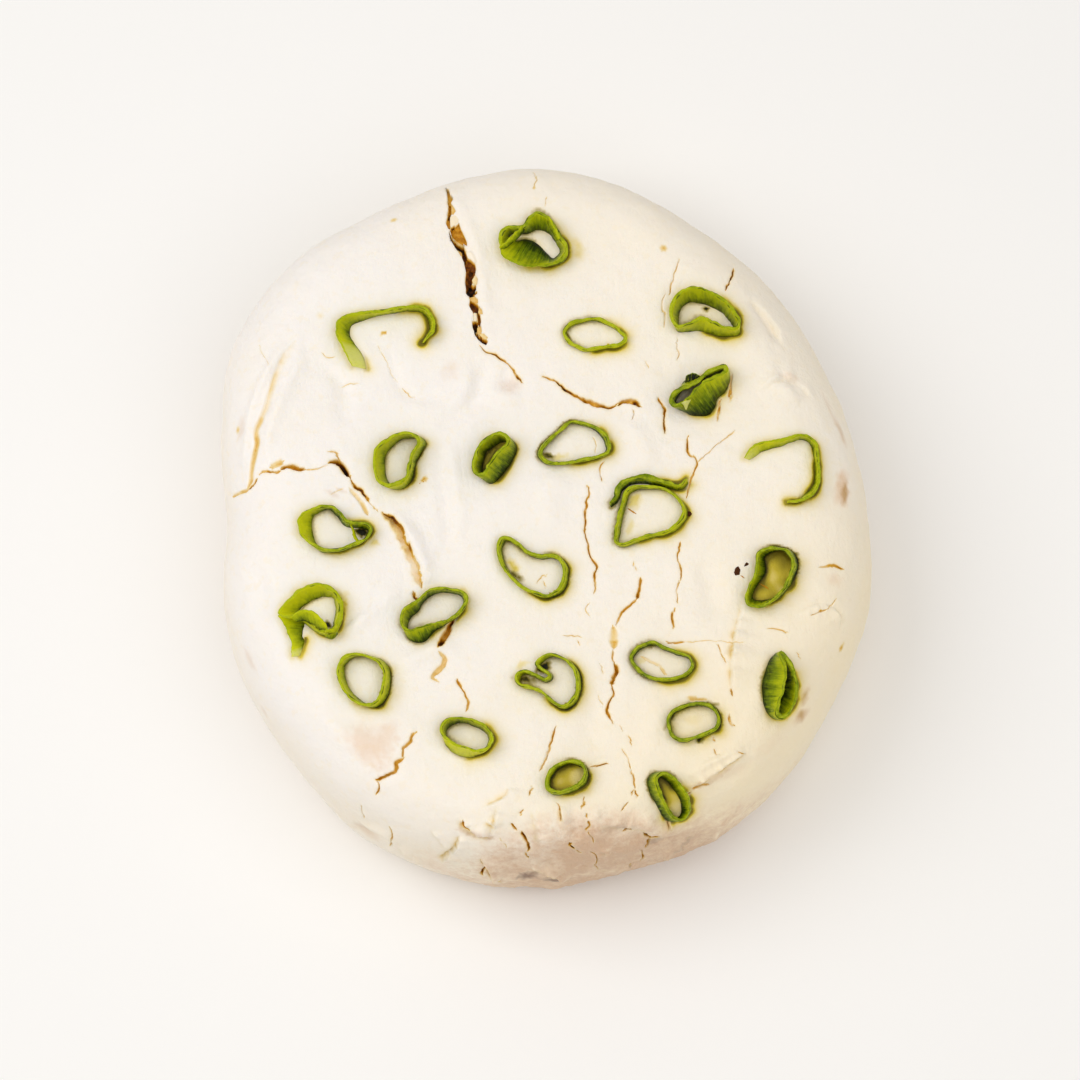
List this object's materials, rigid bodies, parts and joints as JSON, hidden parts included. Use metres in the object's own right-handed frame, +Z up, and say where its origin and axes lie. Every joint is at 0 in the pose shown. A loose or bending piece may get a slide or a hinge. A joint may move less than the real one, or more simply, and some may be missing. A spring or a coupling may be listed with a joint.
{
  "type": "feta cheese wheel with scallion rings",
  "caption": "Hand-shaped round of soft white feta with a cracked top, garnished with sliced scallion rings and curls.",
  "frame": {"origin": "centre of the flat base", "axes": "+Z up out of the scallion-topped face, +Y towards the back of the cheese, the longer way across"},
  "size_m": [0.1123, 0.1264, 0.0385],
  "materials": {
    "cheese": "moist soft white cheese, faintly glossy, cream to ochre in its cracks",
    "scallion": "fresh green onion leaf, smooth and slightly waxy, yellow-green where thin"
  },
  "bodies": {
    "root": {"cheese_wheel": "cheese", "scallion_01": "scallion", "scallion_02": "scallion", "scallion_03": "scallion", "scallion_04": "scallion", "scallion_05": "scallion", "scallion_06": "scallion", "scallion_07": "scallion", "scallion_08": "scallion", "scallion_09": "scallion", "scallion_09_outer_leaf": "scallion", "scallion_10": "scallion", "scallion_11": "scallion", "scallion_12": "scallion", "scallion_13": "scallion", "scallion_14": "scallion", "scallion_14_tail": "scallion", "scallion_15": "scallion", "scallion_16": "scallion", "scallion_17": "scallion", "scallion_18": "scallion", "scallion_19": "scallion", "scallion_20": "scallion", "scallion_21": "scallion", "scallion_22": "scallion", "scallion_23": "scallion"}
  },
  "joints": []
}
